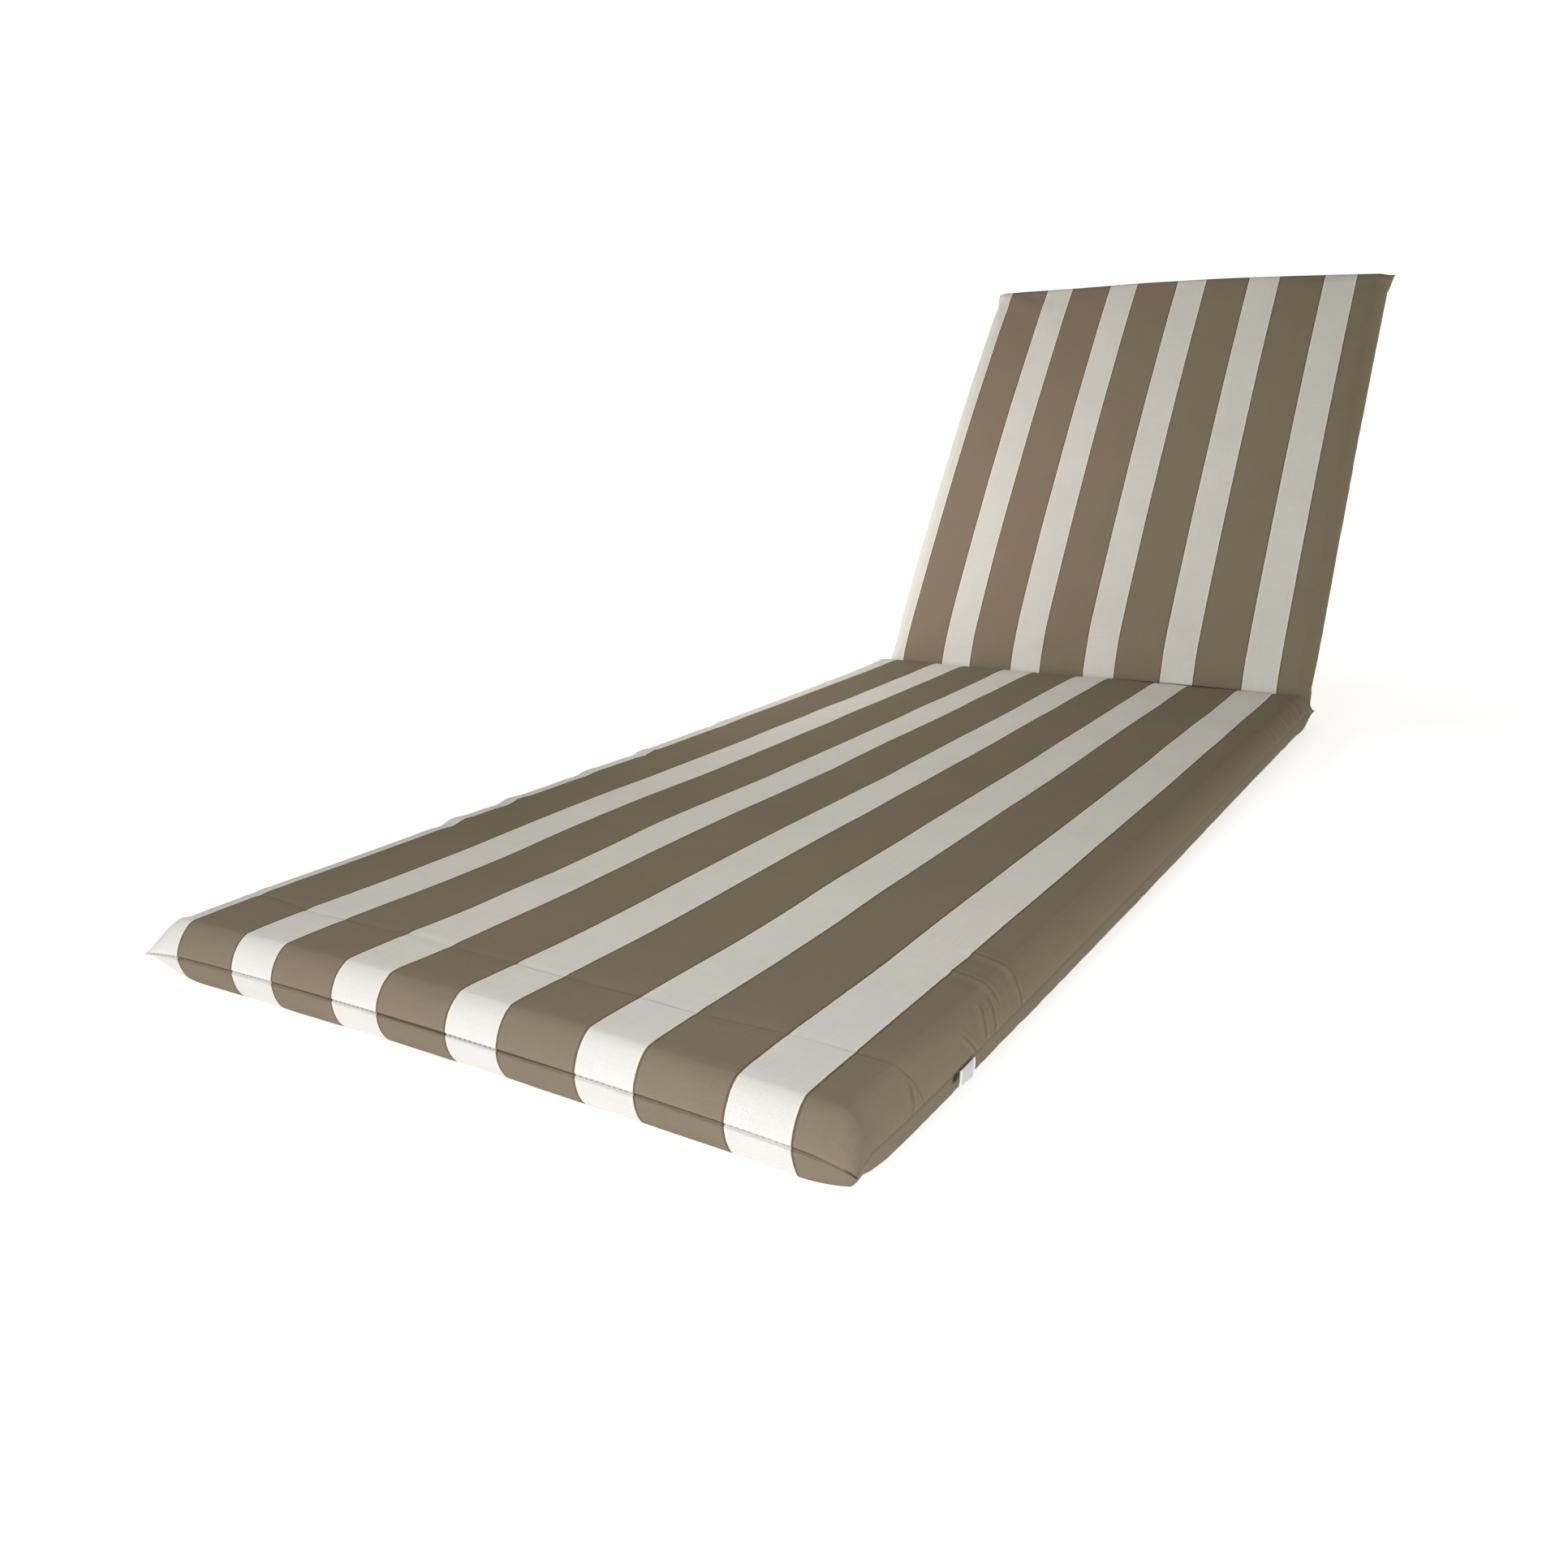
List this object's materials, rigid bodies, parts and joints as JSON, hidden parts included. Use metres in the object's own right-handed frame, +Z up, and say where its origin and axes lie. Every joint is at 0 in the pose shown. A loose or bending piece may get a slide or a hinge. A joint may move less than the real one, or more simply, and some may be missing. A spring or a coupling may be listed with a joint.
{
  "type": "sun lounger cushion",
  "caption": "Striped padded cushion for a sun lounger: a long flat seat section and a raised back section joined at a sewn hinge crease, with a small blank tab in the side seam.",
  "frame": {"origin": "in the plane of the seat's flat underside, below the middle of the seat section", "axes": "+X to the right as seen from the foot end, +Y from the foot end towards the head end, +Z up"},
  "size_m": [0.6235, 1.6503, 0.5813],
  "materials": {
    "striped_canvas": "matte plain-woven canvas with lengthwise taupe and cream stripes",
    "white_tape": "matte white woven tape, blank"
  },
  "bodies": {
    "root": {"cushion": "striped_canvas", "tab": "white_tape"}
  },
  "joints": []
}
